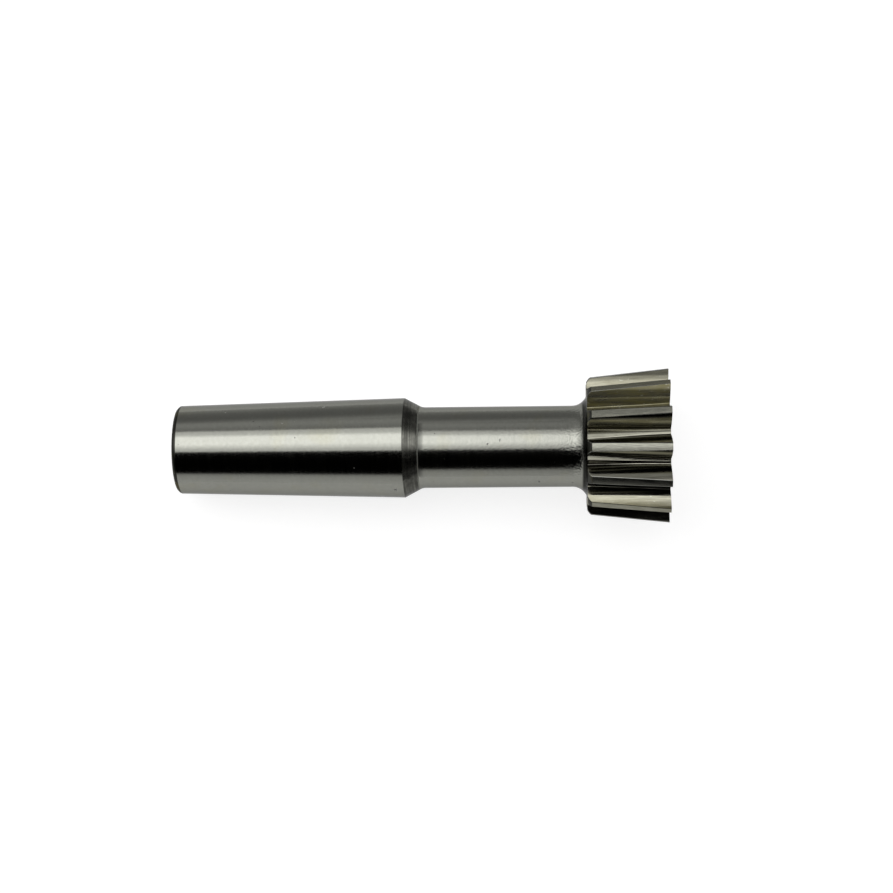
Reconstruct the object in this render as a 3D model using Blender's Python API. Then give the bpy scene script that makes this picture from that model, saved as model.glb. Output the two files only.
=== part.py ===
"""Shank type gear shaper cutter for involute splines: a relieved 13-tooth head, a ground neck
and a self-holding No. 1 taper shank, turned and ground from one piece of high-speed steel.

The tool is modelled along +X from the shank end to the cutting face, with one tooth on top.
It is then laid on the ground, on the tips of its two lowest teeth and the end of its shank.
"""

from math import acos, atan2, cos, hypot, pi, radians, sin, tan

import bmesh
import bpy
from mathutils import Matrix

MM = 0.001

# Gear data of the teeth, at the cutting face. Addendum, dedendum and shift are in modules
TEETH = 13
MODULE = 1.25 * MM
PRESSURE_ANGLE = radians(30)
ADDENDUM = 0.68
DEDENDUM = 0.96
PROFILE_SHIFT = 0.32
ROOT_ROUNDING = 0.3 * MM

# Cutting geometry
RAKE_ANGLE = radians(3)
RELIEF_ANGLE = radians(6)
TOOTH_BACK_CHAMFER = 0.5 * MM

# Lengths along the tool
OVERALL_LENGTH = 60 * MM
HEAD_LENGTH = 9.9 * MM
TAPER_LENGTH = 28 * MM

# Self-holding taper No. 1
TAPER_LARGE_DIAMETER = 12.2 * MM
TAPER_ON_DIAMETER = 0.04988
SHANK_END_CHAMFER = 0.3 * MM

# Neck
NECK_DIAMETER = 9.9 * MM
SHOULDER_EDGE = 0.12 * MM
SHOULDER_ANGLE = radians(27)
SHOULDER_LENGTH = 2.5 * MM
SHOULDER_FILLET = 1.7 * MM
HEAD_FILLET = 1.85 * MM
HEAD_BACK_RING = 0.08 * MM

# Centre holes and the wheel recess in the cutting face
CENTRE_ANGLE = radians(60)
PILOT_DIAMETER = 1.6 * MM
PILOT_LENGTH = 1.4 * MM
DRILL_POINT_ANGLE = radians(118)
SHANK_CENTRE_MOUTH = 4.25 * MM
RECESS_DIAMETER = 6.0 * MM
RECESS_DEPTH = 1.5 * MM
RECESS_EDGE = 0.15 * MM
FACE_CENTRE_MOUTH = 3.6 * MM

# Facets
TURNED_SEGMENTS = 8 * TEETH
FILLET_STEPS = 6
FLANK_STEPS = 7
ROOT_STEPS = 4
HEAD_STATIONS = 4

# High-speed steel, ground
STEEL_COLOUR = (0.3, 0.3, 0.27, 1)
STEEL_ROUGHNESS = 0.2

# Sizes that follow from the ones above
HEAD_BACK = OVERALL_LENGTH - HEAD_LENGTH
PITCH_RADIUS = MODULE * TEETH / 2
BASE_RADIUS = PITCH_RADIUS * cos(PRESSURE_ANGLE)
TIP_RADIUS = PITCH_RADIUS + (PROFILE_SHIFT + ADDENDUM) * MODULE
ROOT_RADIUS = PITCH_RADIUS + (PROFILE_SHIFT - DEDENDUM) * MODULE
RELIEF_SLOPE = tan(RELIEF_ANGLE)


def clear_scene():
    for item in list(bpy.data.objects):
        bpy.data.objects.remove(item, do_unlink=True)


def involute(angle):
    return tan(angle) - angle


def tip_radius(station):
    """Outer radius of the relieved head, which shrinks behind the cutting edge."""
    return TIP_RADIUS - (OVERALL_LENGTH - station) * RELIEF_SLOPE


def root_radius(station):
    return ROOT_RADIUS - (OVERALL_LENGTH - station) * RELIEF_SLOPE


def chamfered_tip_radius(station):
    chamfer = tip_radius(HEAD_BACK) - TOOTH_BACK_CHAMFER + (station - HEAD_BACK)
    return min(tip_radius(station), chamfer)


def half_tooth_angle(station, radius):
    """Half the angle that a tooth spans at a radius. The profile shift falls with the relief."""
    shift = PROFILE_SHIFT - (OVERALL_LENGTH - station) * RELIEF_SLOPE / MODULE
    at_pitch = pi / (2 * TEETH) + 2 * shift * tan(PRESSURE_ANGLE) / TEETH
    at_radius = acos(min(1, BASE_RADIUS / radius))
    return at_pitch + involute(PRESSURE_ANGLE) - involute(at_radius)


def face_station(station, rake, radius):
    """Station of a section that is dished by the rake: its tooth tips stand foremost."""
    return station - (tip_radius(station) - radius) * tan(rake)


def half_tooth(station, rake):
    """Points (station, radius, angle) from the middle of a tooth's tip to the middle of its root."""
    tip = chamfered_tip_radius(station)
    points = [(station, tip, 0)]
    whole_depth = tip_radius(station) - root_radius(station)
    root = root_radius(station - whole_depth * tan(rake))
    foot = root + ROOT_ROUNDING
    for i in range(FLANK_STEPS + 1):
        radius = tip + (foot - tip) * i / FLANK_STEPS
        at = face_station(station, rake, radius)
        points.append((at, radius, half_tooth_angle(at, radius)))
    foot_angle = points[-1][2]
    for i in range(1, ROOT_STEPS + 1):
        turn = pi / 2 * i / ROOT_STEPS
        radius = foot - ROOT_ROUNDING * sin(turn)
        angle = foot_angle + ROOT_ROUNDING * (1 - cos(turn)) / root
        points.append((face_station(station, rake, radius), radius, angle))
    points.append((face_station(station, rake, root), root, pi / TEETH))
    return points


def tooth_outline(station, rake):
    """Points of all the teeth in one section, the first one in the middle of the top tooth."""
    half = half_tooth(station, rake)
    mirrored = [(at, radius, -angle) for at, radius, angle in half[-2:0:-1]]
    outline = []
    for tooth in range(TEETH):
        middle = 2 * pi * tooth / TEETH
        for at, radius, angle in half + mirrored:
            turned = angle if angle >= 0 else 2 * pi / TEETH + angle
            outline.append((at, radius, middle + turned))
    return outline


def circle(station, radius):
    return [(station, radius, 2 * pi * i / TURNED_SEGMENTS) for i in range(TURNED_SEGMENTS)]


def add_loop(mesh, points):
    """Vertices of a closed loop. Angle zero is straight up, and angles grow towards +Y."""
    return [
        mesh.verts.new((station, radius * sin(angle), radius * cos(angle)))
        for station, radius, angle in points
    ]


def angle_of(vert):
    return atan2(vert.co.y, vert.co.z) % (2 * pi)


def stitch(mesh, first, second):
    """Skins two loops that both start straight up, whatever their counts, angle by angle."""
    i = j = 0
    while i < len(first) or j < len(second):
        a, b = first[i % len(first)], second[j % len(second)]
        next_a, next_b = first[(i + 1) % len(first)], second[(j + 1) % len(second)]
        reach_a = 2 * pi if i + 1 >= len(first) else angle_of(next_a)
        reach_b = 2 * pi if j + 1 >= len(second) else angle_of(next_b)
        if j == len(second) or (i < len(first) and reach_a <= reach_b):
            mesh.faces.new((a, next_a, b))
            i += 1
        else:
            mesh.faces.new((a, next_b, b))
            j += 1


def bridge(mesh, first, second):
    """Quads between two loops with the same count."""
    for i in range(len(first)):
        j = (i + 1) % len(first)
        mesh.faces.new((first[i], first[j], second[j], second[i]))


def cap(mesh, loop, station):
    """Closes a loop with a cone to a point on the axis."""
    apex = mesh.verts.new((station, 0, 0))
    for i in range(len(loop)):
        mesh.faces.new((loop[i], loop[(i + 1) % len(loop)], apex))


def centre_hole(mouth_station, mouth_radius, inward):
    """Stations and radii of a centre hole's wall from its mouth to its blunt bottom, and its apex."""
    pilot = PILOT_DIAMETER / 2
    cone = (mouth_radius - pilot) / tan(CENTRE_ANGLE / 2)
    bottom = cone + PILOT_LENGTH
    point = pilot / tan(DRILL_POINT_ANGLE / 2)
    wall = [
        (mouth_station, mouth_radius),
        (mouth_station + inward * cone, pilot),
        (mouth_station + inward * bottom, pilot),
    ]
    return wall, mouth_station + inward * (bottom + point)


def shank_profile():
    """Stations and radii from the shank's end face along the taper and the neck to the head."""
    large = TAPER_LARGE_DIAMETER / 2
    edge = (TAPER_LENGTH, large - SHOULDER_EDGE / 2)
    return [
        (0, taper_radius(0) - SHANK_END_CHAMFER),
        (SHANK_END_CHAMFER, taper_radius(SHANK_END_CHAMFER)),
        (TAPER_LENGTH - SHOULDER_EDGE, large),
        edge,
        *shoulder_fillet(*edge),
        *head_fillet(),
    ]


def shoulder_fillet(edge_station, edge_radius):
    """Arc that the neck's grinding wheel leaves, from where it cuts the shoulder cone to the neck."""
    neck = NECK_DIAMETER / 2
    slope = tan(SHOULDER_ANGLE)
    stretch = hypot(1, slope)
    drop = edge_radius - neck
    tangent = edge_station + (drop + SHOULDER_FILLET * (stretch - 1)) / slope
    centre = min(TAPER_LENGTH + SHOULDER_LENGTH, tangent)
    left = drop - slope * (centre - edge_station)
    start = SHOULDER_ANGLE + acos(min(1, (SHOULDER_FILLET - left) / (SHOULDER_FILLET * stretch)))
    points = []
    for i in range(FILLET_STEPS + 1):
        turn = start * (1 - i / FILLET_STEPS)
        radius = neck + SHOULDER_FILLET * (1 - cos(turn))
        points.append((centre - SHOULDER_FILLET * sin(turn), radius))
    return points


def head_fillet():
    """Arc of the neck's grinding wheel, from the neck to the narrow ring behind the teeth."""
    neck = NECK_DIAMETER / 2
    wall = root_radius(HEAD_BACK) - neck - HEAD_BACK_RING
    end = acos(max(0, 1 - wall / HEAD_FILLET))
    points = []
    for i in range(FILLET_STEPS + 1):
        turn = end * i / FILLET_STEPS
        station = HEAD_BACK - HEAD_FILLET * (sin(end) - sin(turn))
        points.append((station, neck + HEAD_FILLET * (1 - cos(turn))))
    return points


def taper_radius(station):
    large_station = TAPER_LENGTH - SHOULDER_EDGE
    return TAPER_LARGE_DIAMETER / 2 - (large_station - station) * TAPER_ON_DIAMETER / 2


def turned_loops(mesh, profile):
    """Skins a turned profile and returns its loops."""
    loops = [add_loop(mesh, circle(station, radius)) for station, radius in profile]
    for first, second in zip(loops, loops[1:]):
        bridge(mesh, first, second)
    return loops


def head_stations():
    """Stations of the head's flat sections, from its back to just behind the dished face."""
    chamfer_end = HEAD_BACK + TOOTH_BACK_CHAMFER / (1 - RELIEF_SLOPE)
    return [HEAD_BACK, chamfer_end] + [
        chamfer_end + (OVERALL_LENGTH - chamfer_end) * i / HEAD_STATIONS
        for i in range(1, HEAD_STATIONS)
    ]


def build_cutter():
    """One closed skin: shank centre hole, shank, neck, teeth, cutting face and its recess."""
    mesh = bmesh.new()
    wall, apex = centre_hole(0, SHANK_CENTRE_MOUTH / 2, 1)
    loops = turned_loops(mesh, wall[::-1] + shank_profile())
    cap(mesh, loops[0], apex)

    sections = [tooth_outline(station, 0) for station in head_stations()]
    sections.append(tooth_outline(OVERALL_LENGTH, RAKE_ANGLE))
    teeth = [add_loop(mesh, section) for section in sections]
    stitch(mesh, loops[-1], teeth[0])
    for first, second in zip(teeth, teeth[1:]):
        bridge(mesh, first, second)

    mouth = RECESS_DIAMETER / 2 + RECESS_EDGE
    inside = (ROOT_RADIUS + RECESS_DIAMETER / 2) / 2
    recess = [
        (face_station(OVERALL_LENGTH, RAKE_ANGLE, inside), inside),
        (face_station(OVERALL_LENGTH, RAKE_ANGLE, mouth), mouth),
        (face_station(OVERALL_LENGTH, RAKE_ANGLE, mouth) - RECESS_EDGE, RECESS_DIAMETER / 2),
        (OVERALL_LENGTH - RECESS_DEPTH, RECESS_DIAMETER / 2),
    ]
    wall, apex = centre_hole(OVERALL_LENGTH - RECESS_DEPTH, FACE_CENTRE_MOUTH / 2, -1)
    loops = turned_loops(mesh, recess + wall)
    stitch(mesh, teeth[-1], loops[0])
    cap(mesh, loops[-1], apex)

    bmesh.ops.recalc_face_normals(mesh, faces=mesh.faces)
    return mesh


def rest_tilt():
    """Slope of the axis when the lowest tooth tips and the shank end touch the ground."""
    head = TIP_RADIUS * cos(pi / TEETH - half_tooth_angle(OVERALL_LENGTH, TIP_RADIUS))
    shank = taper_radius(SHANK_END_CHAMFER)
    run = OVERALL_LENGTH - SHANK_END_CHAMFER
    return atan2(head - shank, run)


def lay_down(mesh):
    """Turns the tool to its resting slope, stands it on the ground and centres it."""
    mesh.transform(Matrix.Rotation(-rest_tilt(), 4, "Y"))
    lowest = min(vert.co.z for vert in mesh.verts)
    ends = [vert.co.x for vert in mesh.verts]
    middle = (min(ends) + max(ends)) / 2
    mesh.transform(Matrix.Translation((-middle, 0, -lowest)))


def steel():
    material = bpy.data.materials.new("high_speed_steel")
    material.use_nodes = True
    shader = material.node_tree.nodes["Principled BSDF"]
    shader.inputs["Base Color"].default_value = STEEL_COLOUR
    shader.inputs["Metallic"].default_value = 1
    shader.inputs["Roughness"].default_value = STEEL_ROUGHNESS
    return material


def main():
    clear_scene()
    mesh = build_cutter()
    lay_down(mesh)
    data = bpy.data.meshes.new("shaper_cutter")
    mesh.to_mesh(data)
    mesh.free()
    data.materials.append(steel())
    data.shade_smooth()
    data.set_sharp_from_angle(angle=radians(20))
    cutter = bpy.data.objects.new("shaper_cutter", data)
    bpy.context.scene.collection.objects.link(cutter)


main()
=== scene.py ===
"""Finish of a shank type gear shaper cutter, laid out as a Blender add-on.

The cutter is one piece of high-speed steel: a toothed head with relieved involute teeth, a
ground neck, a turned shoulder and a self-holding taper shank. It lies on two tooth tips and
the end of its shank, on a pale floor, and is seen from straight above.
"""

from math import acos, atan2, cos, hypot, pi, radians, sin, tan

import bmesh
import bpy
from bpy.props import FloatProperty, FloatVectorProperty, IntProperty, PointerProperty
from mathutils import Matrix, Vector


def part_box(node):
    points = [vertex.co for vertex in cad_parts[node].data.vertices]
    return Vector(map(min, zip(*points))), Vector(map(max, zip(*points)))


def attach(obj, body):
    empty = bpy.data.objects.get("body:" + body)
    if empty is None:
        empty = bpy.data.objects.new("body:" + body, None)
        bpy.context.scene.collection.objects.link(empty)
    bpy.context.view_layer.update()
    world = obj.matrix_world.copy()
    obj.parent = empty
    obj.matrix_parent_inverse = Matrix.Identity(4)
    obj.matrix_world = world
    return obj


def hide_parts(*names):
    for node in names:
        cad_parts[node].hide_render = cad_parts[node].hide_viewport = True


bl_info = {
    "name": "Gear shaper cutter",
    "version": (1, 0, 0),
    "blender": (4, 5, 0),
    "location": "3D View > Sidebar > Cutter",
    "description": "Builds a shank type gear shaper cutter with ground and turned finishes",
    "category": "Object",
}

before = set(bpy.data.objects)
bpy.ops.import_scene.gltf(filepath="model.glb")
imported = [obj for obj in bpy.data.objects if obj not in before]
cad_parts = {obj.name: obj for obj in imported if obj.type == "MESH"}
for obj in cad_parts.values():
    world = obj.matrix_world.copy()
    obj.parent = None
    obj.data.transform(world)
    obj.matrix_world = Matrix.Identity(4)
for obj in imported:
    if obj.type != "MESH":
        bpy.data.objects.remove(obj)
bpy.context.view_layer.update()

NODE = "shaper_cutter"
MM = 0.001
SENSOR_WIDTH = 36.0
CLIP_START = 10 * MM
WHITE = (1, 1, 1, 1)


def length(name, description, millimetres):
    return FloatProperty(
        name=name,
        description=description,
        default=millimetres * MM,
        min=0,
        unit="LENGTH",
        precision=5,
    )


def angle(name, description, value):
    return FloatProperty(
        name=name,
        description=description,
        default=radians(value),
        subtype="ANGLE",
        unit="ROTATION",
    )


def colour(name, description, value):
    return FloatVectorProperty(
        name=name,
        description=description,
        default=value,
        size=3,
        min=0,
        max=1,
        subtype="COLOR",
    )


def factor(name, description, value, highest=1.0):
    return FloatProperty(name=name, description=description, default=value, min=0, max=highest)


class CutterSizes(bpy.types.PropertyGroup):
    """Sizes of the tool, the same as those of the solid that it dresses"""

    teeth: IntProperty(name="Teeth", description="Teeth on the head", default=13, min=5)
    module: length("Module", "Module of the teeth", 1.25)
    pressure_angle: angle("Pressure angle", "Pressure angle of the involute", 30)
    addendum: factor("Addendum", "Tip height over the pitch circle, in modules", 0.68)
    dedendum: factor("Dedendum", "Root depth under the pitch circle, in modules", 0.96)
    profile_shift: factor("Profile shift", "Shift at the cutting face, in modules", 0.32)
    root_corner: length("Root corner", "Wheel radius at the foot of each flank", 0.2)
    root_ridge: angle("Root ridge", "Slope of the roots up to the ridge between two grooves", 12)
    rake: angle("Rake", "Dish of the cutting face", 3)
    relief: angle("Relief", "Side and tip relief of the teeth", 6)
    back_chamfer: length("Back chamfer", "Chamfer behind each tooth", 0.5)
    overall: length("Overall length", "From the shank end to the tooth tips", 60)
    head: length("Head length", "Length of the toothed head", 9.9)
    taper: length("Taper length", "Length of the taper shank", 28)
    taper_large: length("Large end", "Diameter of the taper's large end", 12.2)
    taper_rate: factor("Taper", "Taper on diameter", 0.04988)
    end_chamfer: length("End chamfer", "Chamfer at the shank end", 0.3)
    end_rounding: length("End rounding", "Rounding of the chamfer's outer corner", 0.5)
    neck: length("Neck", "Diameter of the neck", 9.9)
    shoulder_edge: length("Shoulder edge", "Edge break of the large end", 0.12)
    shoulder_angle: angle("Shoulder angle", "Slope of the turned shoulder", 27)
    shoulder_run: length("Shoulder length", "From the taper to the plain neck", 2.5)
    shoulder_fillet: length("Shoulder fillet", "Wheel radius at the shoulder", 1.7)
    head_fillet: length("Head fillet", "Wheel radius behind the head", 1.85)
    back_ring: length("Back ring", "Flat ring between the fillet and the roots", 0.08)
    centre_angle: angle("Centre angle", "Angle of the centre holes", 60)
    pilot: length("Pilot", "Diameter of the centre holes' pilots", 1.6)
    pilot_depth: length("Pilot depth", "Length of the pilots", 1.4)
    drill_point: angle("Drill point", "Angle of the pilots' bottoms", 118)
    shank_mouth: length("Shank centre", "Mouth of the shank's centre hole", 4.25)
    recess: length("Recess", "Diameter of the recess in the face", 6)
    recess_depth: length("Recess depth", "Depth of the recess in the face", 1.5)
    recess_edge: length("Recess edge", "Edge break of the recess", 0.15)
    face_mouth: length("Face centre", "Mouth of the face's centre hole", 3.6)
    edge_break: length("Edge break", "Broken edges along the teeth", 0.04)


class SteelFinish(bpy.types.PropertyGroup):
    """Colours and gloss of the cutter's surfaces"""

    ground: colour("Ground steel", "Colour of the ground surfaces", (0.255, 0.258, 0.231))
    turned: colour("Turned steel", "Colour of the turned shoulder", (0.19, 0.19, 0.168))
    flank: colour("Flanks", "Colour of the tooth flanks", (0.225, 0.22, 0.18))
    land: colour("Lands", "Colour of the tooth lands", (0.265, 0.265, 0.225))
    stain: colour("Stain", "Colour of the oil film in the tooth spaces", (0.115, 0.1, 0.028))
    # Marks also colour the darkening in the roots and the painted shade at the head's foot and
    # under the tooth edges
    mark: colour("Marks", "Colour of pits, deposit and scale", (0.04, 0.04, 0.035))
    graze: factor("Grazing share", "How bright the steel stays at grazing angles", 0.55)
    ground_gloss: factor("Ground roughness", "Roughness of the ground surfaces", 0.14)
    neck_gloss: factor("Neck roughness", "Roughness of the neck", 0.17)
    turned_gloss: factor("Turned roughness", "Roughness of the turned shoulder", 0.22)
    flank_gloss: factor("Flank roughness", "Roughness of the tooth flanks", 0.1)


class StudioSetup(bpy.types.PropertyGroup):
    """Camera, floor and light"""

    lens: FloatProperty(name="Lens", description="Focal length in mm", default=76.45, min=1)
    camera_x: length("Camera X", "Camera place along the tool", 0.58)
    camera_y: length("Camera Y", "Camera place across the tool", 3.78)
    camera_z: length("Camera height", "Camera height over the floor", 239.5)
    lens_shift: factor("Lens shift", "Shift along the tool, in picture widths", 0.0214)
    camera_tilt: angle("Camera tilt", "Lean of the camera across the tool", -0.9)
    camera_roll: angle("Camera roll", "Turn of the picture", -0.58)
    softbox: factor("Softbox", "Brightness of the overhead panel", 3.0, 10)
    wall: factor("Walls", "Brightness of the grey walls", 0.425, 10)
    floor_mirrored: factor("Mirrored floor", "Share of the floor's glow in the steel", 0.84)
    floor_glow: factor("Floor glow", "What the floor shows by itself", 0.82)
    floor_white: factor("Floor white", "How pale the floor is in the light", 0.35)
    floor_side: length("Floor", "Side of the floor", 6000)


# Sections of the toothed head

def tip_radius(sizes, station):
    tip = sizes.module * (sizes.teeth / 2 + sizes.profile_shift + sizes.addendum)
    return tip - (sizes.overall - station) * tan(sizes.relief)


def root_radius(sizes, station):
    root = sizes.module * (sizes.teeth / 2 + sizes.profile_shift - sizes.dedendum)
    return root - (sizes.overall - station) * tan(sizes.relief)


def head_back(sizes):
    return sizes.overall - sizes.head


def half_tooth_angle(sizes, station, radius):
    """Half the angle that a tooth spans at a radius, with the profile shift of that station."""
    shift = sizes.profile_shift - (sizes.overall - station) * tan(sizes.relief) / sizes.module
    base = sizes.module * sizes.teeth / 2 * cos(sizes.pressure_angle)
    at_pitch = pi / (2 * sizes.teeth) + 2 * shift * tan(sizes.pressure_angle) / sizes.teeth
    at_radius = acos(min(1, base / radius))
    return at_pitch + involute(sizes.pressure_angle) - involute(at_radius)


def involute(value):
    return tan(value) - value


def dished(sizes, station, rake, radius):
    return station - (tip_radius(sizes, station) - radius) * tan(rake)


# The worn chamfer: place along it and height left to drop, both as shares of its size
CHAMFER = ((0, 1.12), (0.2, 0.74), (0.45, 0.42), (0.75, 0.14), (1, 0))


def chamfer_drop(sizes, station):
    """How far the worn chamfer behind the teeth lies under their tips."""
    behind = (station - head_back(sizes)) / sizes.back_chamfer
    for (first, high), (second, low) in zip(CHAMFER, CHAMFER[1:]):
        if behind <= second:
            return sizes.back_chamfer * (high + (low - high) * (behind - first) / (second - first))
    return 0


LAND_STEPS = 3
FLANK_STEPS = 14
ROOT_STEPS = 9


def half_tooth(sizes, station, rake):
    """Points from the middle of a tooth's tip to the middle of its root, and the zones between."""
    tip = tip_radius(sizes, station) - chamfer_drop(sizes, station)
    depth = tip_radius(sizes, station) - root_radius(sizes, station)
    root = root_radius(sizes, station - depth * tan(rake))
    foot = root + sizes.root_corner
    corner = tip - sizes.edge_break
    land = half_tooth_angle(sizes, station, tip) - sizes.edge_break / tip
    points = [(station, tip, land * i / LAND_STEPS) for i in range(LAND_STEPS + 1)]
    zones = ["tooth_land"] * LAND_STEPS + ["tooth_edge"]
    for i in range(FLANK_STEPS + 1):
        radius = corner + (foot - corner) * i / FLANK_STEPS
        at = dished(sizes, station, rake, radius)
        points.append((at, radius, half_tooth_angle(sizes, at, radius)))
    foot_angle = points[-1][2]
    for i in range(1, ROOT_STEPS + 1):
        turn = (pi / 2 + sizes.root_ridge) * i / ROOT_STEPS
        radius = foot - sizes.root_corner * sin(turn)
        shift = sizes.root_corner * (1 - cos(turn)) / root
        points.append((dished(sizes, station, rake, radius), radius, foot_angle + shift))
    middle = pi / sizes.teeth
    ridge = radius + (middle - foot_angle - shift) * root * tan(sizes.root_ridge)
    points.append((dished(sizes, station, rake, ridge), ridge, middle))
    zones += ["tooth_flank"] * (len(points) - 1 - len(zones))
    return points, zones


def tooth_section(sizes, station, rake):
    """Points of all the teeth in one section, and the zone of each stretch between them."""
    half, zones = half_tooth(sizes, station, rake)
    pitch = 2 * pi / sizes.teeth
    mirrored = [(at, radius, pitch - turned) for at, radius, turned in half[-2:0:-1]]
    points = []
    for tooth in range(sizes.teeth):
        for at, radius, turned in half + mirrored:
            points.append((at, radius, turned + pitch * tooth))
    return points, (zones + zones[::-1]) * sizes.teeth


# Turned outline

def rounded(corners, steps=5):
    """Points of an outline whose corners, given as station, radius and rounding, become arcs."""
    points = []
    for i, (station, radius, rounding) in enumerate(corners):
        here = Vector((station, radius))
        if not rounding or i in (0, len(corners) - 1):
            points.append(here)
            continue
        before = (Vector(corners[i - 1][:2]) - here).normalized()
        after = (Vector(corners[i + 1][:2]) - here).normalized()
        half = before.angle(after) / 2
        centre = here + (before + after).normalized() * rounding / sin(half)
        start = here + before * rounding / tan(half) - centre
        sweep = start.angle_signed(here + after * rounding / tan(half) - centre)
        for step in range(steps + 1):
            turned = start.copy()
            turned.rotate(Matrix.Rotation(-sweep * step / steps, 2))
            points.append(centre + turned)
    return points


def supported(points, longest=1.0 * MM, margin=0.04 * MM):
    """Extra rings near both ends of each long stretch, so that its shading stays straight."""
    out = [points[0]]
    for first, second in zip(points, points[1:]):
        run = second - first
        if run.length > longest:
            out += [first + run.normalized() * margin, second - run.normalized() * margin]
        out.append(second)
    return out


def taper_radius(sizes, station):
    large_station = sizes.taper - sizes.shoulder_edge
    return sizes.taper_large / 2 - (large_station - station) * sizes.taper_rate / 2


SMALL_ROUND = 0.05 * MM
# Share of the end chamfer's run that still counts as the flat ring
FLAT_SHARE = 0.02


def end_outline(sizes):
    """Shank end: the flat ring from the centre hole's mouth, then the chamfer to the taper."""
    end = taper_radius(sizes, 0)
    chamfer = sizes.end_chamfer
    points = rounded([
        (0, sizes.shank_mouth / 2, 0),
        (0, end - chamfer, SMALL_ROUND),
        (chamfer, taper_radius(sizes, chamfer), sizes.end_rounding),
        (2 * chamfer, taper_radius(sizes, 2 * chamfer), 0),
    ])
    flat = sum(point.x < chamfer * FLAT_SHARE for point in points)
    return points[:flat], points[flat - 1:-1]


def shoulder_geometry(sizes):
    """Centre station of the neck's fillet and the turn at which it meets the shoulder cone."""
    edge_radius = sizes.taper_large / 2 - sizes.shoulder_edge / 2
    slope = tan(sizes.shoulder_angle)
    stretch = hypot(1, slope)
    drop = edge_radius - sizes.neck / 2
    tangent = sizes.taper + (drop + sizes.shoulder_fillet * (stretch - 1)) / slope
    centre = min(sizes.taper + sizes.shoulder_run, tangent)
    left = drop - slope * (centre - sizes.taper)
    reach = min(1, (sizes.shoulder_fillet - left) / (sizes.shoulder_fillet * stretch))
    return centre, sizes.shoulder_angle + acos(reach)


def shoulder_foot(sizes):
    centre, turn = shoulder_geometry(sizes)
    fillet = sizes.shoulder_fillet
    return Vector((centre - fillet * sin(turn), sizes.neck / 2 + fillet * (1 - cos(turn))))


def shoulder_edge_outline(sizes):
    """The taper's broken edge, up to the turned cone."""
    foot = shoulder_foot(sizes)
    return rounded([
        (sizes.taper - sizes.shoulder_edge, sizes.taper_large / 2, 0),
        (sizes.taper - sizes.shoulder_edge / 2, sizes.taper_large / 2, SMALL_ROUND * 3),
        (foot.x, foot.y, 0),
    ])[:-1]


FILLET_STEPS = 14
# Steps of the shoulder's fillet that belong to the turned cone, and to the ring at its foot
CONE_STEPS = 3
RING_STEPS = 2


def neck_outline(sizes):
    """From the shoulder's foot through its fillet, the neck and the head's fillet to the back."""
    centre, start = shoulder_geometry(sizes)
    neck = sizes.neck / 2
    points = []
    for i in range(FILLET_STEPS + 1):
        turn = start * (1 - i / FILLET_STEPS)
        along = centre - sizes.shoulder_fillet * sin(turn)
        points.append(Vector((along, neck + sizes.shoulder_fillet * (1 - cos(turn)))))
    back = head_back(sizes)
    wall = root_radius(sizes, back) - neck - sizes.back_ring
    last = acos(max(0, 1 - wall / sizes.head_fillet))
    for i in range(FILLET_STEPS + 1):
        turn = last * i / FILLET_STEPS
        along = back - sizes.head_fillet * (sin(last) - sin(turn))
        points.append(Vector((along, neck + sizes.head_fillet * (1 - cos(turn)))))
    return points


def centre_hole(sizes, station, mouth, inward):
    """Outline of a centre hole from its mouth to its drill point."""
    pilot = sizes.pilot / 2
    cone = (mouth / 2 - pilot) / tan(sizes.centre_angle / 2)
    bottom = cone + sizes.pilot_depth
    point = pilot / tan(sizes.drill_point / 2)
    return [
        Vector((station, mouth / 2)),
        Vector((station + inward * cone, pilot)),
        Vector((station + inward * bottom, pilot)),
        Vector((station + inward * (bottom + point), 0)),
    ]


# Skinning

TURNED_SEGMENTS = 24 * 13
ON_AXIS = 1e-9
ZONES = (
    "centre_hole",
    "shank_end",
    "end_chamfer",
    "taper",
    "shoulder",
    "shoulder_ring",
    "neck",
    "head_back",
    "tooth_back",
    "tooth_land",
    "tooth_edge",
    "tooth_flank",
    "cutting_face",
)


def add_loop(mesh, points):
    return [mesh.verts.new((at, r * sin(turned), r * cos(turned))) for at, r, turned in points]


def ring(mesh, point):
    if point.y < ON_AXIS:
        return [mesh.verts.new((point.x, 0, 0))]
    turns = [2 * pi * i / TURNED_SEGMENTS for i in range(TURNED_SEGMENTS)]
    return add_loop(mesh, [(point.x, point.y, turned) for turned in turns])


def face(mesh, verts, zone):
    made = mesh.faces.new(verts)
    made.material_index = ZONES.index(zone)
    made.smooth = True


def bridge(mesh, first, second, zones):
    """Quads between two loops of the same count, or a fan where one is a single point."""
    count = max(len(first), len(second))
    for i in range(count):
        j = (i + 1) % count
        zone = zones if isinstance(zones, str) else zones[i]
        if len(first) == 1:
            face(mesh, (first[0], second[j], second[i]), zone)
        elif len(second) == 1:
            face(mesh, (first[i], first[j], second[0]), zone)
        else:
            face(mesh, (first[i], first[j], second[j], second[i]), zone)


def turned_stretch(mesh, outline, zone, start=None):
    """Rings along an outline, from a ring that is there already if one is given."""
    loops = [start or ring(mesh, outline[0])] + [ring(mesh, point) for point in outline[1:]]
    for first, second in zip(loops, loops[1:]):
        bridge(mesh, first, second, zone)
    return loops[-1]


def turn_of(vert):
    return atan2(vert.co.y, vert.co.z) % (2 * pi)


def stitch(mesh, first, second, zone):
    """Triangles between two loops of any counts that both start on top, in step by angle."""
    i = j = 0
    while i < len(first) or j < len(second):
        a, b = first[i % len(first)], second[j % len(second)]
        next_a, next_b = first[(i + 1) % len(first)], second[(j + 1) % len(second)]
        reach_a = 2 * pi if i + 1 >= len(first) else turn_of(next_a)
        reach_b = 2 * pi if j + 1 >= len(second) else turn_of(next_b)
        if j == len(second) or (i < len(first) and reach_a <= reach_b):
            face(mesh, (a, next_a, b), zone)
            i += 1
        else:
            face(mesh, (a, next_b, b), zone)
            j += 1


HEAD_STATIONS = 16


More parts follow.
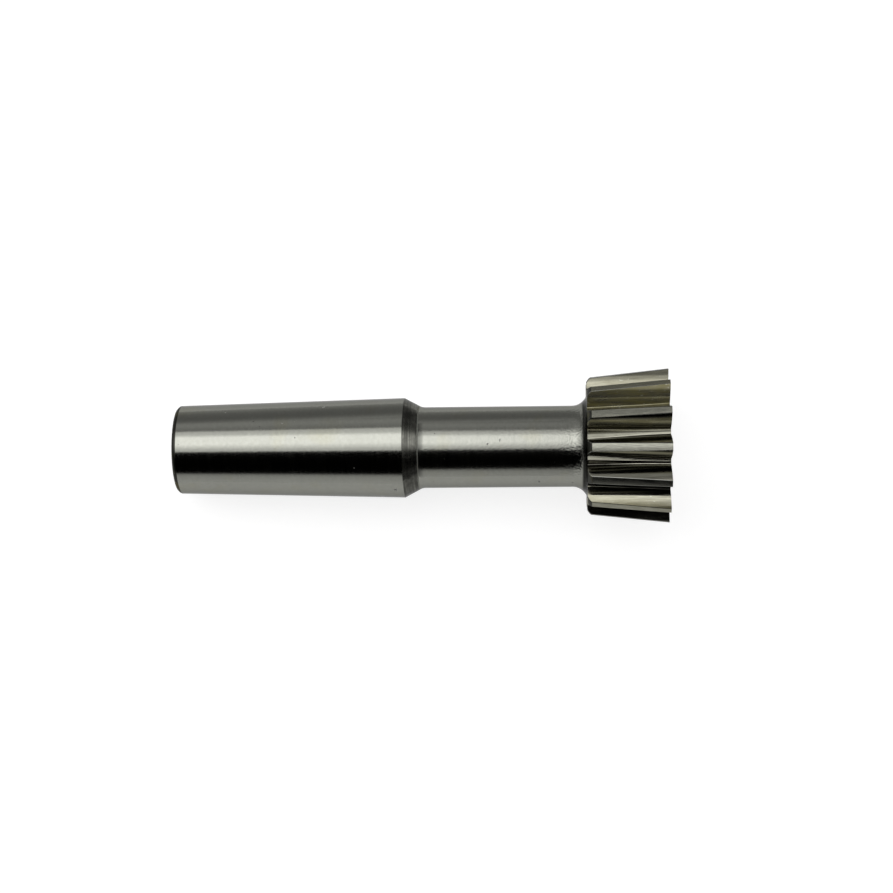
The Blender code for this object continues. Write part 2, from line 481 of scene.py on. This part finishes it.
def head_stations(sizes):
    back = head_back(sizes)
    chamfer = [back + sizes.back_chamfer * place for place, _ in CHAMFER]
    run = sizes.overall - chamfer[-1]
    return chamfer + [chamfer[-1] + run * i / HEAD_STATIONS for i in range(1, HEAD_STATIONS)]


def cutter_mesh(sizes):
    """One closed skin along the tool's axis, from the shank's centre hole to the face's."""
    mesh = bmesh.new()
    hole = supported(centre_hole(sizes, 0, sizes.shank_mouth, 1))
    loop = turned_stretch(mesh, hole[::-1], "centre_hole")
    flat, chamfer = end_outline(sizes)
    loop = turned_stretch(mesh, flat, "shank_end", loop)
    loop = turned_stretch(mesh, chamfer, "end_chamfer", loop)
    edge = shoulder_edge_outline(sizes)
    neck = neck_outline(sizes)
    loop = turned_stretch(mesh, supported([chamfer[-1]] + edge), "taper", loop)
    cone = [edge[-1]] + neck[:CONE_STEPS + 1]
    loop = turned_stretch(mesh, supported(cone), "shoulder", loop)
    foot = neck[CONE_STEPS:CONE_STEPS + RING_STEPS + 1]
    loop = turned_stretch(mesh, foot, "shoulder_ring", loop)
    rest = neck[CONE_STEPS + RING_STEPS:]
    loop = turned_stretch(mesh, supported(rest), "neck", loop)

    made = [tooth_section(sizes, station, 0) for station in head_stations(sizes)]
    made.append(tooth_section(sizes, sizes.overall, sizes.rake))
    sections = [add_loop(mesh, points) for points, _ in made]
    stitch(mesh, loop, sections[0], "head_back")
    for i, (first, second) in enumerate(zip(sections, sections[1:])):
        zones = made[i][1]
        if i < len(CHAMFER) - 1:
            zones = ["tooth_back" if zone == "tooth_land" else zone for zone in zones]
        bridge(mesh, first, second, zones)

    mouth = sizes.recess / 2 + sizes.recess_edge
    edge = dished(sizes, sizes.overall, sizes.rake, mouth)
    inside = (root_radius(sizes, sizes.overall) + mouth) / 2
    floor = sizes.overall - sizes.recess_depth
    recess = [
        Vector((dished(sizes, sizes.overall, sizes.rake, inside), inside)),
        Vector((edge, mouth)),
        Vector((edge - sizes.recess_edge, sizes.recess / 2)),
        Vector((floor, sizes.recess / 2)),
    ]
    loop = ring(mesh, recess[0])
    stitch(mesh, sections[-1], loop, "cutting_face")
    loop = turned_stretch(mesh, supported(recess), "cutting_face", loop)
    hole = [recess[-1]] + supported(centre_hole(sizes, floor, sizes.face_mouth, -1))
    turned_stretch(mesh, hole, "centre_hole", loop)
    bmesh.ops.recalc_face_normals(mesh, faces=mesh.faces)
    return mesh


def resting_place(sizes, mesh):
    """Matrix that lays the tool on its two lowest tooth tips and its shank end, centred."""
    tip = tip_radius(sizes, sizes.overall)
    low = tip * cos(pi / sizes.teeth - half_tooth_angle(sizes, sizes.overall, tip))
    shank = taper_radius(sizes, sizes.end_chamfer)
    tilt = atan2(low - shank, sizes.overall - sizes.end_chamfer)
    turned = Matrix.Rotation(-tilt, 4, "Y")
    cad_low, cad_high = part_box(NODE)
    spots = [turned @ vert.co for vert in mesh.verts]
    middle = (min(spot.x for spot in spots) + max(spot.x for spot in spots)) / 2
    lowest = min(spot.z for spot in spots)
    shift = Vector(((cad_low.x + cad_high.x) / 2 - middle, 0, cad_low.z - lowest))
    return Matrix.Translation(shift) @ turned


# Node helpers

def add(tree, kind, **settings):
    made = tree.nodes.new(kind)
    for name, value in settings.items():
        setattr(made, name, value)
    return made


def put(tree, socket, value):
    """Links a socket to another's output, or sets it to a plain value."""
    if isinstance(value, bpy.types.NodeSocket):
        tree.links.new(value, socket)
    else:
        socket.default_value = value


def along_tool(tree, per_metre=(1, 1, 1)):
    """Coordinates along the tool, across it and up, stretched by features per metre."""
    coords = add(tree, "ShaderNodeTexCoord")
    mapping = add(tree, "ShaderNodeMapping", vector_type="TEXTURE")
    put(tree, mapping.inputs["Vector"], coords.outputs["Object"])
    mapping.inputs["Scale"].default_value = [1 / features for features in per_metre]
    return mapping.outputs["Vector"]


def tool_parts(tree):
    """The three coordinates along the tool, across it and up, in metres."""
    parts = add(tree, "ShaderNodeSeparateXYZ")
    put(tree, parts.inputs[0], along_tool(tree))
    return parts.outputs


def ring_direction(tree):
    """Direction around the tool's axis."""
    parts = tool_parts(tree)
    around_axis = add(tree, "ShaderNodeCombineXYZ")
    put(tree, around_axis.inputs["Y"], times(tree, parts["Z"], -1))
    put(tree, around_axis.inputs["Z"], parts["Y"])
    laid = add(tree, "ShaderNodeMapping", vector_type="VECTOR")
    put(tree, laid.inputs["Vector"], around_axis.outputs[0])
    placed = add(tree, "ShaderNodeVectorTransform", vector_type="VECTOR")
    placed.convert_from = "OBJECT"
    placed.convert_to = "WORLD"
    put(tree, placed.inputs[0], laid.outputs[0])
    return placed.outputs[0]


def lay_down(materials, place):
    """Turns the materials' axes with the tool, so that they run along it as it lies."""
    for material in materials:
        for node in material.node_tree.nodes:
            if node.bl_idname == "ShaderNodeMapping":
                node.inputs["Rotation"].default_value = place.to_euler()
                if node.vector_type == "TEXTURE":
                    node.inputs["Location"].default_value = place.to_translation()


def grain(tree, per_metre, detail=2.0, rough=0.5):
    """Noise whose features are as many per metre along the tool, across it and up."""
    noise = add(tree, "ShaderNodeTexNoise")
    put(tree, noise.inputs["Vector"], along_tool(tree, per_metre))
    noise.inputs["Scale"].default_value = 1
    noise.inputs["Detail"].default_value = detail
    noise.inputs["Roughness"].default_value = rough
    return noise.outputs["Fac"]


def span(tree, value, low, high, to_low, to_high, smooth=False):
    """A value from low to high, carried over to a new range and held at its ends."""
    remap = add(tree, "ShaderNodeMapRange")
    if smooth:
        remap.interpolation_type = "SMOOTHSTEP"
    ends = {"From Min": low, "From Max": high, "To Min": to_low, "To Max": to_high}
    for name, number in ends.items():
        remap.inputs[name].default_value = number
    put(tree, remap.inputs["Value"], value)
    return remap.outputs["Result"]


def math(tree, operation, first, second=0.0):
    made = add(tree, "ShaderNodeMath", operation=operation)
    put(tree, made.inputs[0], first)
    put(tree, made.inputs[1], second)
    return made.outputs[0]


def times(tree, first, second):
    return math(tree, "MULTIPLY", first, second)


def less(tree, first, second):
    return math(tree, "SUBTRACT", first, second)


def mixed(tree, amount, first, second):
    made = add(tree, "ShaderNodeMix", data_type="RGBA")
    put(tree, made.inputs["Factor"], amount)
    put(tree, made.inputs["A"], first)
    put(tree, made.inputs["B"], second)
    return made.outputs["Result"]


def relief(tree, height, distance, normal=None):
    bump = add(tree, "ShaderNodeBump")
    bump.inputs["Strength"].default_value = 1
    bump.inputs["Distance"].default_value = distance
    put(tree, bump.inputs["Height"], height)
    if normal:
        put(tree, bump.inputs["Normal"], normal)
    return bump.outputs["Normal"]


def shade(value, share):
    return tuple(channel * share for channel in value[:3]) + (1,)


# Where most of a noise's values lie
NOISE_MIDDLE = (0.3, 0.7)


def varied(tree, noise, base, dark, light):
    """A colour that runs with the noise from a dark share of itself to a light one."""
    amount = span(tree, noise, *NOISE_MIDDLE, 0, 1)
    return mixed(tree, amount, shade(base, dark), shade(base, light))


def wandering(tree, noise, value, under, over):
    """A value that runs with the noise from a little under it to a little over it."""
    return span(tree, noise, *NOISE_MIDDLE, value - under, value + over)


def steel(name, finish):
    """A bare metal material, its node tree and its shader."""
    material = bpy.data.materials.new(name)
    material.use_nodes = True
    tree = material.node_tree
    shader = tree.nodes["Principled BSDF"]
    shader.inputs["Metallic"].default_value = 1
    shader.inputs["Specular Tint"].default_value = (finish.graze,) * 3 + (1,)
    return material, tree, shader


# Finishes

# Features per metre along the tool, across it and up
GROUND_LINES = (9000, 260, 260)
GROUND_BANDS = (900, 60, 60)
GROUND_RIPPLE = (2600, 700, 700)
GROUND_GRIT = (4500, 3500, 3500)
DULL_MOTTLE = (2600, 2000, 2000)
STAIN_CLOUDS = (260, 260, 260)
SMALL_PITS = (1900, 1900, 1900)
DUST_SPECKS = (1500, 1100, 1100)
FEED_LINES = (7000, 120, 120)
SHOULDER_MOTTLE = (1300, 1300, 1300)
FACE_CLOUDS = (500, 500, 500)
TOOTH_STREAKS = (240, 7000, 7000)
TOOTH_CLOUDS = (300, 1400, 1400)
TOOTH_NICKS = (1500, 4200, 4200)
FACE_RINGS = 9000

# Heights of the fine relief, in metres
LINE_RELIEF = 0.4e-6
FEED_RELIEF = 6e-6
MOTTLE_RELIEF = 5e-6
RING_RELIEF = 3e-6
STREAK_RELIEF = 2.5e-6

# How much coarser the neck's grit gets towards the head, and where, before the dark foot
COARSE_GRIT = 6.5
COARSE_START = 3.3 * MM
COARSE_END = 0.5 * MM
# Painted shade in the corner at the head, dark all round: how far it starts before the head, how
# softly, and how full it is
FOOT_SHADE_REACH = 0.55 * MM
FOOT_BLUR = 0.1 * MM
FOOT_SHARE = 0.96


def ring_ground(name, base, gloss, finish, waviness, grit, foot=None):
    """Ground on centres: lines around the axis, some waviness, small pits and specks of dust, and,
    with a foot, painted shade in the corner at the head.
    """
    material, tree, shader = steel(name, finish)
    lines = grain(tree, GROUND_LINES, 3, 0.6)
    streaks = math(
        tree, "ADD", times(tree, lines, 0.6), times(tree, grain(tree, GROUND_BANDS), 0.4)
    )
    coloured = varied(tree, streaks, base, 0.94, 1.05)
    dull = span(tree, grain(tree, DULL_MOTTLE, 4, 0.7), 0.35, 0.7, 0, 1)
    coloured = mixed(tree, dull, coloured, shade(base, 0.91))
    stained = span(tree, grain(tree, STAIN_CLOUDS, 3), 0.55, 0.8, 0, 0.15)
    coloured = mixed(tree, stained, coloured, shade(finish.stain, 2))
    pits = span(tree, grain(tree, SMALL_PITS, 1), 0.79, 0.83, 0, 1, smooth=True)
    coloured = mixed(tree, pits, coloured, shade(finish.mark, 1))
    flecks = span(tree, grain(tree, DUST_SPECKS, 0), 0.845, 0.87, 0, 1)
    gritty = grain(tree, GROUND_GRIT, 2, 0.6)
    if foot:
        along = tool_parts(tree)["X"]
        # Painted shade in the corner between the neck and the head, all round
        painted_shade = span(tree, along, foot - FOOT_BLUR, foot + FOOT_BLUR, 0, FOOT_SHARE)
        coloured = mixed(tree, painted_shade, coloured, shade(finish.mark, 0.4))
        flecks = times(tree, flecks, less(tree, 1, painted_shade))
        coarse = span(tree, along, foot - COARSE_START, foot - COARSE_END, 1, COARSE_GRIT)
        gritty = times(tree, gritty, coarse)
    put(tree, shader.inputs["Base Color"], mixed(tree, flecks, coloured, shade(base, 0.9)))
    put(tree, shader.inputs["Metallic"], less(tree, 1, flecks))
    rough = math(tree, "ADD", wandering(tree, lines, gloss, 0.03, 0.04), times(tree, pits, 0.3))
    put(tree, shader.inputs["Roughness"], rough)
    shader.inputs["Anisotropic"].default_value = 0.5
    shader.inputs["Anisotropic Rotation"].default_value = 0.25
    put(tree, shader.inputs["Tangent"], ring_direction(tree))
    normal = relief(tree, grain(tree, GROUND_RIPPLE), waviness)
    normal = relief(tree, gritty, grit, normal)
    put(tree, shader.inputs["Normal"], relief(tree, lines, LINE_RELIEF, normal))
    return material


# Around the shoulder, in degrees from the top towards +Y: share of painted shade, which darkens
# the cone all round but for a lighter strip on top
SHOULDER_PAINTED_SHADE = (
    (-180, 0.7), (-70, 0.6), (-52, 0.9), (-34, 1), (-27, 0.6), (-20, 0), (24, 0),
    (31, 0.6), (36, 1), (54, 1), (62, 0.6), (80, 0.3), (180, 0.7),
)


def turn_share(tree):
    """Angle around the tool as a share of a turn: 0.5 on top, more towards +Y."""
    parts = tool_parts(tree)
    turned = math(tree, "ARCTAN2", parts["Y"], parts["Z"])
    return math(tree, "ADD", math(tree, "DIVIDE", turned, 2 * pi), 0.5)


def by_angle(tree, table):
    """The columns of a table of angles around the tool, as amounts in red and green."""
    ramp = add(tree, "ShaderNodeValToRGB")
    points = ramp.color_ramp.elements
    while len(points) < len(table):
        points.new(0.5)
    for point, (turned, *amounts) in zip(points, table):
        point.position = turned / 360 + 0.5
        point.color = (amounts[0], amounts[-1], 0, 1)
    put(tree, ramp.inputs["Fac"], turn_share(tree))
    shares = add(tree, "ShaderNodeSeparateColor")
    put(tree, shares.inputs["Color"], ramp.outputs["Color"])
    return shares.outputs["Red"], shares.outputs["Green"]


def turned_shoulder(finish):
    """Turned before hardening and left so: dull, mottled, with the tool's feed lines, and darkened
    all round by painted shade but for a strip on top.
    """
    material, tree, shader = steel("turned_shoulder", finish)
    base = finish.turned
    feed = grain(tree, FEED_LINES, 2, 0.6)
    mottle = grain(tree, SHOULDER_MOTTLE, 3, 0.6)
    lined = mixed(tree, span(tree, feed, 0.35, 0.65, 0, 1), shade(base, 0.6), shade(base, 1.5))
    mottled = mixed(tree, span(tree, mottle, 0.4, 0.75, 0, 0.7), lined, shade(base, 0.5))
    # Painted shade by angle around the tool: dark all round, with a lighter strip on top
    painted_shade, _ = by_angle(tree, SHOULDER_PAINTED_SHADE)
    dark = times(tree, painted_shade, span(tree, mottle, 0.35, 0.65, 0.7, 1))
    put(tree, shader.inputs["Base Color"], mixed(tree, dark, mottled, shade(base, 0.2)))
    rough = wandering(tree, mottle, finish.turned_gloss, 0.06, 0.08)
    put(tree, shader.inputs["Roughness"], rough)
    normal = relief(tree, feed, FEED_RELIEF)
    put(tree, shader.inputs["Normal"], relief(tree, mottle, MOTTLE_RELIEF, normal))
    return material


def off_axis(tree, parts):
    """Distance from the tool's axis."""
    squares = [math(tree, "POWER", parts[name], 2) for name in "YZ"]
    return math(tree, "SQRT", math(tree, "ADD", *squares))


def end_steel(name, base, gloss, finish):
    """Faces and holes that were turned or drilled: rings around the axis and light stains."""
    material, tree, shader = steel(name, finish)
    parts = tool_parts(tree)
    place = add(tree, "ShaderNodeCombineXYZ")
    put(tree, place.inputs["X"], off_axis(tree, parts))
    put(tree, place.inputs["Y"], parts["X"])
    noise = add(tree, "ShaderNodeTexNoise")
    put(tree, noise.inputs["Vector"], place.outputs[0])
    noise.inputs["Scale"].default_value = FACE_RINGS
    noise.inputs["Detail"].default_value = 2
    rings = noise.outputs["Fac"]
    cloud = grain(tree, FACE_CLOUDS, 3)
    lined = varied(tree, rings, base, 0.8, 1.12)
    stained = span(tree, cloud, 0.5, 0.8, 0, 0.5)
    put(tree, shader.inputs["Base Color"], mixed(tree, stained, lined, shade(finish.stain, 1.6)))
    put(tree, shader.inputs["Roughness"], wandering(tree, cloud, gloss, 0.04, 0.07))
    put(tree, shader.inputs["Normal"], relief(tree, rings, RING_RELIEF))
    return material


# Around the head, in degrees from the top towards +Y: shares of oil film and of darkening in the
# roots
TOOTH_FILM_AND_DARKENING = (
    (-180, 0.3, 0.3), (-90, 0.1, 0.3), (-62.5, 0, 0.1), (-59.5, 0.7, 0.1), (-52, 0.7, 0.1),
    (-48, 0.1, 0.3), (-45, 0, 1), (-33, 0, 1), (-29, 0, 0.2), (-25, 0, 1), (-18.5, 0, 1),
    (-17.3, 0, 0.1), (-15, 0, 0.2), (-13.5, 0, 0), (4, 0, 0.3), (13.5, 0, 0.1),
    (14.5, 0.1, 0.3), (18, 0.4, 0.7), (22.5, 0.8, 0.8), (24.5, 0.3, 0.6), (26, 0.1, 0.2),
    (33, 0.2, 0), (38, 1, 0.2), (58, 1, 0), (64, 0.3, 0), (180, 0.3, 0.3),
)


# The same angles: share of painted shade, black, under the edges of one tooth
EDGE_PAINTED_SHADE = ((-180, 0), (22.7, 0), (23.8, 0.96), (24.9, 1), (25.4, 0), (180, 0))
# Heights over the roots between which the darkening thins out
DARKENING_FULL = 0.5 * MM
DARKENING_END = 1.1 * MM


def root_height(tree, sizes):
    """Height over the tooth roots."""
    parts = tool_parts(tree)
    slope = times(tree, less(tree, sizes.overall, parts["X"]), tan(sizes.relief))
    root = less(tree, root_radius(sizes, sizes.overall), slope)
    return less(tree, off_axis(tree, parts), root)


def film_and_root_darkening(tree, sizes):
    """Amounts of oil film and of darkening, which lies in the roots."""
    film, root_darkening = by_angle(tree, TOOTH_FILM_AND_DARKENING)
    low = span(tree, root_height(tree, sizes), DARKENING_FULL, DARKENING_END, 1, 0)
    return film, times(tree, root_darkening, low)


def tooth_steel(name, base, gloss, finish, sizes, stained, edge_shaded=False):
    """Ground along the teeth: long streaks, an oil film here and there, darkening in the roots,
    and on the edges and flanks painted shade under the edges of one tooth.
    """
    material, tree, shader = steel(name, finish)
    streaks = grain(tree, TOOTH_STREAKS, 3, 0.6)
    cloud = grain(tree, TOOTH_CLOUDS, 3, 0.6)
    film, root_darkening = film_and_root_darkening(tree, sizes)
    lined = varied(tree, streaks, base, 0.78, 1.2)
    # Darkening in the roots at the angles listed, broken up by the clouds
    root_darkening = times(tree, root_darkening, span(tree, cloud, *NOISE_MIDDLE, 0.75, 1.1))
    dark = times(tree, root_darkening, min(1, 1.1 * stained))
    dulled = mixed(tree, dark, lined, shade(finish.mark, 0.25))
    film = times(tree, film, span(tree, cloud, 0.35, 0.7, 0.45, 1.1))
    amount = times(tree, film, stained)
    filmed = mixed(tree, amount, dulled, shade(finish.stain, 1))
    if edge_shaded:
        # Painted shade: black under the edges of one tooth, by angle around the tool
        black, _ = by_angle(tree, EDGE_PAINTED_SHADE)
        filmed = mixed(tree, black, filmed, shade(finish.mark, 0.1))
        amount = times(tree, amount, less(tree, 1, black))
    put(tree, shader.inputs["Metallic"], span(tree, amount, 0, 1, 1, 0.35))
    nicks = grain(tree, TOOTH_NICKS, 2, 0.6)
    worn = math(tree, "ADD", nicks, times(tree, amount, 0.06))
    bright = span(tree, worn, 0.7, 0.78, 0, 0.6, smooth=True)
    put(tree, shader.inputs["Base Color"], mixed(tree, bright, filmed, shade(finish.ground, 1.7)))
    put(tree, shader.inputs["Roughness"], wandering(tree, cloud, gloss, 0.03, 0.08))
    put(tree, shader.inputs["Normal"], relief(tree, streaks, STREAK_RELIEF))
    return material


def finishes(finish, sizes):
    """One material for each zone of the skin, in their order."""
    ground, turned = finish.ground, finish.turned
    foot = head_back(sizes) - FOOT_SHADE_REACH
    land_gloss = finish.ground_gloss + 0.04

    def plain(name, base, gloss):
        return end_steel(name, base, gloss, finish)

    def tooth(name, base, gloss, stained, edge_shaded):
        return tooth_steel(name, base, gloss, finish, sizes, stained, edge_shaded)

    made = {
        "centre_hole": plain("centre_hole_bore", turned, 0.34),
        "shank_end": plain("shank_end_face", ground, 0.28),
        "end_chamfer": plain("shank_end_chamfer", shade(turned, 0.2), 0.3),
        "taper": ring_ground("ground_taper", ground, finish.ground_gloss, finish, 5e-6, 3e-6),
        "shoulder": turned_shoulder(finish),
        "shoulder_ring": plain("shoulder_foot_ring", shade(ground, 0.9), 0.5),
        # The neck carries painted shade in the corner at the head
        "neck": ring_ground("ground_neck", ground, finish.neck_gloss, finish, 7e-6, 7e-6, foot),
        "head_back": plain("head_back_face", shade(turned, 0.6), 0.32),
        "tooth_back": plain("tooth_backs", shade(turned, 0.3), 0.3),
        "tooth_land": tooth("tooth_lands", finish.land, land_gloss, 0.42, False),
        "tooth_edge": tooth("tooth_edges", shade(ground, 0.6), land_gloss, 0.1, True),
        "tooth_flank": tooth("tooth_flanks", finish.flank, finish.flank_gloss, 0.85, True),
        "cutting_face": plain("cutting_face", ground, 0.2),
    }
    return [made[zone] for zone in ZONES]


SHARP_EDGE = radians(20)
MOST_DIFFERENCE = 0.2 * MM


class CUTTER_OT_body(bpy.types.Operator):
    """Build the cutter's skin over its solid and give each surface its finish"""

    bl_idname = "cutter.body"
    bl_label = "Cutter body"

    def execute(self, context):
        sizes = context.scene.cutter_sizes
        mesh = cutter_mesh(sizes)
        place = resting_place(sizes, mesh)
        data = bpy.data.meshes.new("cutter_skin")
        mesh.to_mesh(data)
        mesh.free()
        data.transform(place)
        materials = finishes(context.scene.cutter_finish, sizes)
        lay_down(materials, place)
        for material in materials:
            data.materials.append(material)
        data.set_sharp_from_angle(angle=SHARP_EDGE)
        skin = bpy.data.objects.new("cutter_skin", data)
        context.scene.collection.objects.link(skin)
        check_size(skin)
        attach(skin, "root")
        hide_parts(NODE)
        return {"FINISHED"}


def check_size(skin):
    """The skin has the corners of the solid that it stands for."""
    spots = [vert.co for vert in skin.data.vertices]
    low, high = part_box(NODE)
    for axis in range(3):
        found = min(spot[axis] for spot in spots), max(spot[axis] for spot in spots)
        wrong = max(abs(found[0] - low[axis]), abs(found[1] - high[axis]))
        if wrong > MOST_DIFFERENCE:
            raise RuntimeError(f"the skin is {wrong / MM:.2f} mm off the solid along axis {axis}")


# Stage

# Levels of each panel across the tool: degrees from straight up towards +Y, and brightness
SOFTBOX = (
    (-6, 0), (-4, 0.5), (0, 0.5), (6, 0.72), (14, 1), (32, 1), (35, 0.8), (38, 0.58),
    (47, 0.48), (49, 0.3),
)
BACK_WALL = (
    (49, 1), (53, 1.05), (57, 1.2), (63, 1.42), (70, 1.42), (78, 0.95), (86, 0.75), (92, 0.75),
)
DARK_FLAG = ((-61, 0), (-6, 0))
FRONT_WALL = (
    (-92, 2.15), (-86, 2.05), (-80, 1.9), (-72, 1.7), (-67, 1.3), (-63, 0.3), (-61, 0),
)
# Fall of the light along the tool: degrees from straight up towards +X, then the shares of
# the softbox and of the walls
REACH = (
    (-89.5, 0.05, 0.05), (-84, 0.2, 0.2), (-78, 0.33, 0.3), (-68, 0.44, 0.5), (-60, 0.6, 0.75),
    (-43, 0.7, 0.9), (-35, 0.8, 1), (-22, 1, 1), (-7, 1, 1), (-1, 0.78, 0.9), (6, 0.6, 0.75),
    (23, 0.44, 0.45), (40, 0.36, 0.24), (50, 0.36, 0.2), (60, 0.3, 0.2), (75, 0.4, 0.45),
    (89.5, 0.6, 0.7),
)
FOR_SOFTBOX, FOR_WALLS = 1, 2
# The panels fan out towards the shank: from how many degrees, how fast and how far
FAN_START, FAN_RATE, FAN_MOST = 15, 2.7e-4, 0.6
TENT_END = 60
PANEL_DISTANCE = 1.5
CARD_DISTANCE = 18.5 * MM
CARD_LENGTH = 260 * MM
# The card's levels: millimetres over the floor, and brightness
CARD = (
    (0, 1.45), (1.5, 1.3), (3, 1.05), (5, 0.8), (7.5, 0.67), (10.3, 0.62), (12, 0.72),
    (14, 1.05), (15, 1.4),
)


def glowing(name, corners, levels):
    """A sheet of quads that glows by its corners' levels, and that the camera looks through."""
    mesh = bmesh.new()
    glow = mesh.verts.layers.float.new("glow")
    rows = []
    for row, shares in zip(corners, levels):
        rows.append([mesh.verts.new(corner) for corner in row])
        for vert, share in zip(rows[-1], shares):
            vert[glow] = share
    for first, second in zip(rows, rows[1:]):
        for i in range(len(first) - 1):
            mesh.faces.new((first[i], first[i + 1], second[i + 1], second[i]))
    data = bpy.data.meshes.new(name)
    mesh.to_mesh(data)
    mesh.free()
    data.materials.append(glowing_material(name))
    panel = bpy.data.objects.new(name, data)
    bpy.context.scene.collection.objects.link(panel)
    panel.visible_camera = False
    return panel


def glowing_material(name):
    material = bpy.data.materials.new(name)
    material.use_nodes = True
    tree = material.node_tree
    tree.nodes.clear()
    level = add(tree, "ShaderNodeAttribute", attribute_name="glow")
    light = add(tree, "ShaderNodeEmission")
    put(tree, light.inputs["Strength"], level.outputs["Fac"])
    output = add(tree, "ShaderNodeOutputMaterial")
    put(tree, output.inputs["Surface"], light.outputs[0])
    return material


def fanned(turned, along):
    """The panels' angles across the tool, which spread out towards its shank."""
    return turned * (1 + min(FAN_MOST, FAN_RATE * max(0, -along - FAN_START) ** 2))


def around(turned, along):
    """A point of the tent that stands around the tool's line, closed at both its ends."""
    turned = fanned(turned, along)
    end = PANEL_DISTANCE * tan(radians(TENT_END))
    x = max(-end, min(end, PANEL_DISTANCE * tan(radians(along))))
    distance = min(PANEL_DISTANCE, abs(end / tan(radians(along)))) if along else PANEL_DISTANCE
    return x, distance * sin(radians(turned)), distance * cos(radians(turned))


def add_panel(name, across, brightness, share):
    """A panel at the angles and levels across the tool, with its share of the fall along it."""
    corners = [[around(turned, reach[0]) for reach in REACH] for turned, _ in across]
    levels = [[level * brightness * reach[share] for reach in REACH] for _, level in across]
    glowing(name, corners, levels)


def add_card(setup):
    """A low grey card behind the tool, there only for what the steel mirrors."""
    corners, levels = [], []
    for height, level in CARD:
        corners.append([(end * CARD_LENGTH / 2, CARD_DISTANCE, height * MM) for end in (-1, 1)])
        levels.append([level * setup.wall] * 2)
    card = glowing("mirrored_card", corners, levels)
    card.visible_diffuse = False
    card.visible_shadow = False


def studio_light(setup):
    """White world, a long overhead softbox, a dark flag beside it and grey walls."""
    world = bpy.data.worlds.new("studio")
    bpy.context.scene.world = world
    world.use_nodes = True
    world.node_tree.nodes["Background"].inputs["Color"].default_value = WHITE
    add_panel("softbox", SOFTBOX, setup.softbox, FOR_SOFTBOX)
    add_panel("dark_flag", DARK_FLAG, 0, FOR_WALLS)
    add_panel("back_wall", BACK_WALL, setup.wall, FOR_WALLS)
    add_panel("front_wall", FRONT_WALL, setup.wall, FOR_WALLS)
    add_card(setup)


def floor_material(setup):
    """Pale floor that the camera and the steel see as white, and that keeps the tool's shadow."""
    material = bpy.data.materials.new("pale_floor")
    material.use_nodes = True
    tree = material.node_tree
    tree.nodes.clear()
    lit = add(tree, "ShaderNodeBsdfDiffuse")
    lit.inputs["Color"].default_value = (setup.floor_white,) * 3 + (1,)
    glow = add(tree, "ShaderNodeEmission")
    path = add(tree, "ShaderNodeLightPath")
    glossy, through = path.outputs["Is Glossy Ray"], path.outputs["Is Transmission Ray"]
    mirrored = times(tree, math(tree, "MAXIMUM", glossy, through), setup.floor_mirrored)
    seen = math(tree, "MAXIMUM", path.outputs["Is Camera Ray"], mirrored)
    put(tree, glow.inputs["Strength"], times(tree, seen, setup.floor_glow))
    both = add(tree, "ShaderNodeAddShader")
    put(tree, both.inputs[0], lit.outputs[0])
    put(tree, both.inputs[1], glow.outputs[0])
    output = add(tree, "ShaderNodeOutputMaterial")
    put(tree, output.inputs["Surface"], both.outputs[0])
    return material


def add_floor(setup):
    mesh = bmesh.new()
    bmesh.ops.create_grid(mesh, size=setup.floor_side / 2)
    data = bpy.data.meshes.new("floor")
    mesh.to_mesh(data)
    mesh.free()
    data.materials.append(floor_material(setup))
    floor = bpy.data.objects.new("floor", data)
    bpy.context.scene.collection.objects.link(floor)
    floor.location.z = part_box(NODE)[0].z


def add_camera(setup):
    data = bpy.data.cameras.new("overhead_camera")
    data.lens = setup.lens
    data.sensor_width = SENSOR_WIDTH
    data.shift_x = setup.lens_shift
    data.clip_start = CLIP_START
    camera = bpy.data.objects.new("overhead_camera", data)
    bpy.context.scene.collection.objects.link(camera)
    camera.location = (setup.camera_x, setup.camera_y, setup.camera_z)
    camera.rotation_euler = (setup.camera_tilt, 0, setup.camera_roll)
    bpy.context.scene.camera = camera


class CUTTER_OT_stage(bpy.types.Operator):
    """Add the pale floor, the studio light and the overhead camera"""

    bl_idname = "cutter.stage"
    bl_label = "Stage"

    def execute(self, context):
        setup = context.scene.cutter_studio
        studio_light(setup)
        add_floor(setup)
        add_camera(setup)
        context.scene.view_settings.view_transform = "Standard"
        return {"FINISHED"}


class CUTTER_PT_panel(bpy.types.Panel):
    """Sizes, finishes and build steps of the cutter"""

    bl_label = "Gear shaper cutter"
    bl_idname = "CUTTER_PT_panel"
    bl_space_type = "VIEW_3D"
    bl_region_type = "UI"
    bl_category = "Cutter"

    def draw(self, context):
        layout = self.layout
        layout.operator(CUTTER_OT_body.bl_idname)
        layout.operator(CUTTER_OT_stage.bl_idname)
        scene = context.scene
        for group in (scene.cutter_sizes, scene.cutter_finish, scene.cutter_studio):
            box = layout.box()
            for name in group.bl_rna.properties.keys():
                if name not in {"rna_type", "name"}:
                    box.prop(group, name)


CLASSES = (CutterSizes, SteelFinish, StudioSetup, CUTTER_OT_body, CUTTER_OT_stage, CUTTER_PT_panel)


def register():
    for cls in CLASSES:
        bpy.utils.register_class(cls)
    bpy.types.Scene.cutter_sizes = PointerProperty(type=CutterSizes)
    bpy.types.Scene.cutter_finish = PointerProperty(type=SteelFinish)
    bpy.types.Scene.cutter_studio = PointerProperty(type=StudioSetup)


def unregister():
    del bpy.types.Scene.cutter_studio
    del bpy.types.Scene.cutter_finish
    del bpy.types.Scene.cutter_sizes
    for cls in reversed(CLASSES):
        bpy.utils.unregister_class(cls)


def main():
    register()
    bpy.ops.cutter.body()
    bpy.ops.cutter.stage()


if __name__ == "__main__":
    main()
